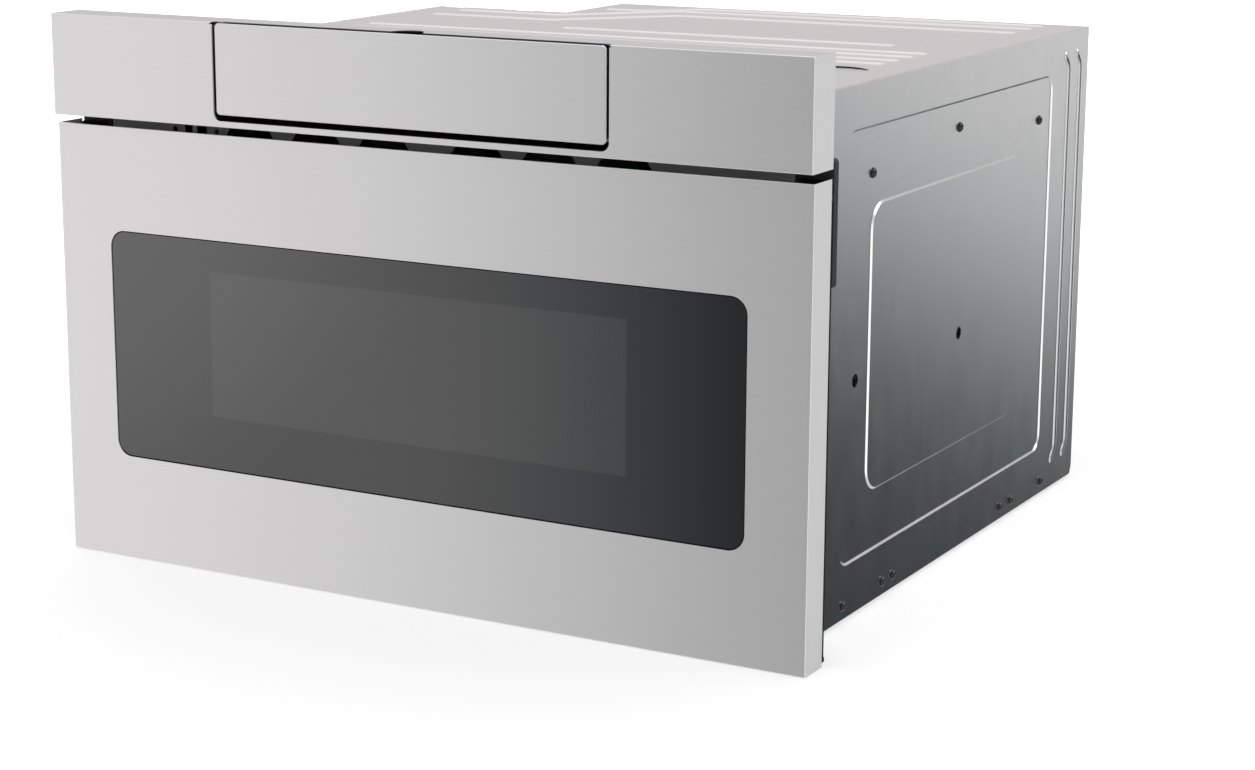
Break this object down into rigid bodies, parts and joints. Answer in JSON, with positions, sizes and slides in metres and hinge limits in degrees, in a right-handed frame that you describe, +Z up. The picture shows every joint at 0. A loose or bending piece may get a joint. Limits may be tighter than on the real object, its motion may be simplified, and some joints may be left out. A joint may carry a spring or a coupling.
{
  "type": "microwave drawer",
  "caption": "Built-in microwave oven whose food tray slides out as a motor-driven drawer with a window, under a stainless trim that hides a tilting control panel",
  "frame": {"origin": "on the floor, under the middle of the outer box", "axes": "+X to the right seen from the front, -Y the front (the drawer opens along -Y), +Z up"},
  "size_m": [0.6064, 0.5846, 0.4032],
  "materials": {
    "stainless": "brushed",
    "dark_glass": "polished",
    "clear_glass": "polished",
    "black_moulding": "moulded",
    "dark_paint": "satin",
    "galvanised": "galvanised",
    "zinc_rail": "zinc plated",
    "oven_paint": "satin enamel",
    "screen": "black",
    "ceramic": "glazed",
    "black_screw": "black oxide",
    "steel_pin": "turned",
    "white_moulding": "moulded",
    "aluminium_sheet": "satin",
    "motor_steel": "varnished",
    "circuit_board": "coated"
  },
  "bodies": {
    "case": {"top_trim": "stainless", "trim_backing_frame": "black_moulding", "slide_outer_right": "zinc_rail", "slide_outer_left": "zinc_rail", "drive_motor": "motor_steel", "motor_bracket": "galvanised", "base_pan": "galvanised", "side_panel_right": "galvanised", "side_panel_left": "galvanised", "top_panel": "galvanised", "upper_rails": "galvanised", "rear_panel": "galvanised", "rear_corner_panel": "galvanised", "case_screws": "black_screw", "cord_gland": "black_moulding", "front_frame": "galvanised", "vent_plate": "dark_paint", "mounting_bracket_right": "black_moulding", "mounting_bracket_left": "black_moulding", "oven_cavity": "oven_paint", "stirrer_cover": "white_moulding", "stirrer_motor": "motor_steel", "waveguide": "aluminium_sheet", "magnetron": "aluminium_sheet", "fan_shroud": "black_moulding", "fan_motor": "motor_steel", "high_voltage_transformer": "motor_steel", "high_voltage_capacitor": "aluminium_sheet", "noise_filter": "circuit_board", "board_tray": "galvanised", "power_board": "circuit_board", "exhaust_duct": "galvanised", "oven_lamp": "white_moulding", "thermal_cutout": "steel_pin", "interlock_switches": "black_moulding"},
    "drawer": {"drawer_front_skin": "stainless", "window_glass": "dark_glass", "drawer_front_core": "black_moulding", "viewing_screen": "screen", "inner_glass": "clear_glass", "choke_frame": "dark_paint", "drawer_tray": "oven_paint", "tray_screws": "steel_pin", "ceramic_floor": "ceramic", "latch_hooks": "white_moulding", "slide_inner_right": "zinc_rail", "slide_inner_left": "zinc_rail", "drive_rack": "white_moulding"},
    "middle_slide_right": {"slide_middle_right": "zinc_rail"},
    "middle_slide_left": {"slide_middle_left": "zinc_rail"},
    "pinion": {"drive_pinion": "white_moulding"},
    "control_pod": {"control_panel_face": "stainless", "pod_housing": "black_moulding", "control_board": "circuit_board", "control_glass": "dark_glass", "pod_pivot_pins": "steel_pin"},
    "fan": {"fan_impeller": "white_moulding"},
    "stirrer": {"stirrer_antenna": "aluminium_sheet"}
  },
  "joints": [
    {"name": "drawer_slide", "type": "slide", "parent": "case", "child": "drawer", "axis": [0, -1, 0], "range_m": [0, 0.381]},
    {"name": "middle_slide_right_travel", "type": "slide", "parent": "case", "child": "middle_slide_right", "axis": [0, -1, 0], "range_m": [0, 0.1905]},
    {"name": "middle_slide_left_travel", "type": "slide", "parent": "case", "child": "middle_slide_left", "axis": [0, -1, 0], "range_m": [0, 0.1905]},
    {"name": "pinion_turn", "type": "hinge", "parent": "case", "child": "pinion", "pos_m": [0.028, -0.2263, 0.05], "axis": [0, 0, 1], "range_deg": [0, 1213]},
    {"name": "control_panel_tilt", "type": "hinge", "parent": "case", "child": "control_pod", "pos_m": [0, -0.2873, 0.342], "axis": [1, 0, 0], "range_deg": [0, 45]},
    {"name": "fan_turn", "type": "hinge", "parent": "case", "child": "fan", "pos_m": [-0.086, 0.22765, 0.214], "axis": [1, 0, 0], "continuous": true},
    {"name": "stirrer_turn", "type": "hinge", "parent": "case", "child": "stirrer", "pos_m": [0, -0.0475, 0.262], "axis": [0, 0, 1], "continuous": true}
  ],
  "couplings": [
    {"joint": "middle_slide_right_travel", "follows": "drawer_slide", "ratio": 0.5},
    {"joint": "middle_slide_left_travel", "follows": "drawer_slide", "ratio": 0.5},
    {"joint": "pinion_turn", "follows": "drawer_slide", "rad_per_m": 55.556}
  ]
}
